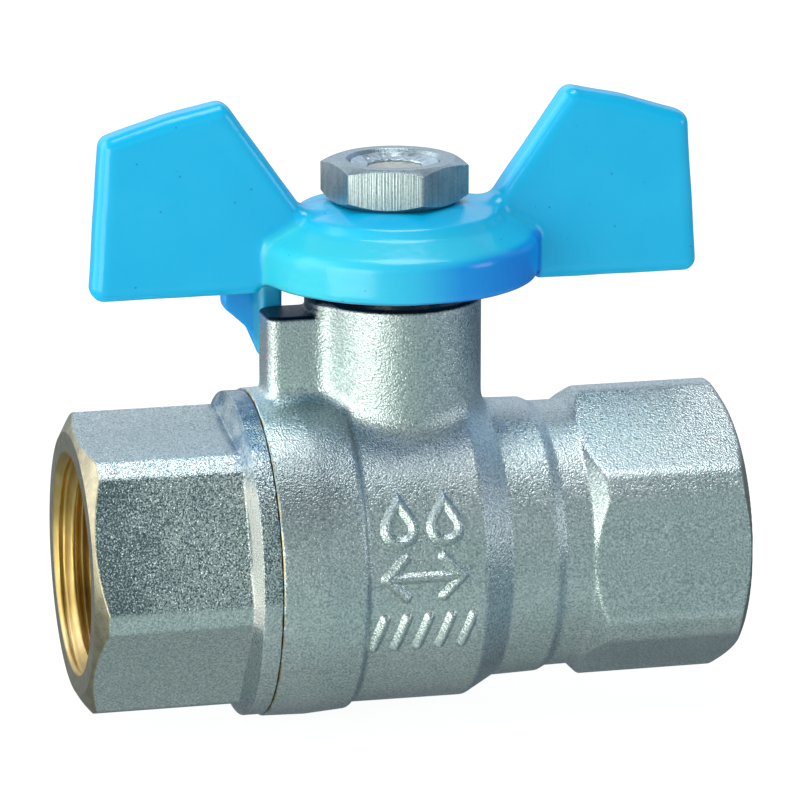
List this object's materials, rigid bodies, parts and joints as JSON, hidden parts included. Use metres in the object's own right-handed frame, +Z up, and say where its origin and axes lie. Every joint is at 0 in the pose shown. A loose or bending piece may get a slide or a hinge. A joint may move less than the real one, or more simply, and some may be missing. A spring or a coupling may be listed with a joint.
{
  "type": "ball_valve",
  "caption": "Half-inch quarter-turn ball shutoff valve with female threads, a two-piece nickel-plated brass body and a blue butterfly handle",
  "frame": {"origin": "centre of the inlet's end face, on the pipe's axis", "axes": "X along the pipe from inlet to outlet, Y across, Z up along the stem"},
  "size_m": [0.064, 0.0318, 0.0601],
  "materials": {
    "nickel_plated_brass": "nickel-plated, sand-blasted forged brass",
    "blue_paint": "glossy light-blue paint over a casting",
    "zinc_plated_steel": "zinc-plated steel with cutting marks",
    "machined_brass": "machined brass",
    "chromed_ball": "polished chromed brass",
    "white_ptfe": "white PTFE",
    "black_rubber": "black rubber"
  },
  "bodies": {
    "root": {"valve_body": "nickel_plated_brass", "end_cap": "nickel_plated_brass", "inlet_seat": "white_ptfe", "outlet_seat": "white_ptfe", "stem_thrust_washer": "white_ptfe"},
    "handle_and_stem": {"handle": "blue_paint", "handle_nut": "zinc_plated_steel", "stem": "machined_brass", "stem_o_ring_lower": "black_rubber", "stem_o_ring_upper": "black_rubber"},
    "ball": {"ball": "chromed_ball"}
  },
  "joints": [
    {"name": "handle_turn", "type": "hinge", "parent": "root", "child": "handle_and_stem", "pos_m": [0.032, 0, 0], "axis": [0, 0, 1], "range_deg": [-90, 0]},
    {"name": "ball_turn", "type": "hinge", "parent": "root", "child": "ball", "pos_m": [0.032, 0, 0], "axis": [0, 0, 1], "range_deg": [-90, 0]}
  ],
  "couplings": [
    {"joint": "ball_turn", "follows": "handle_turn", "ratio": 1}
  ]
}
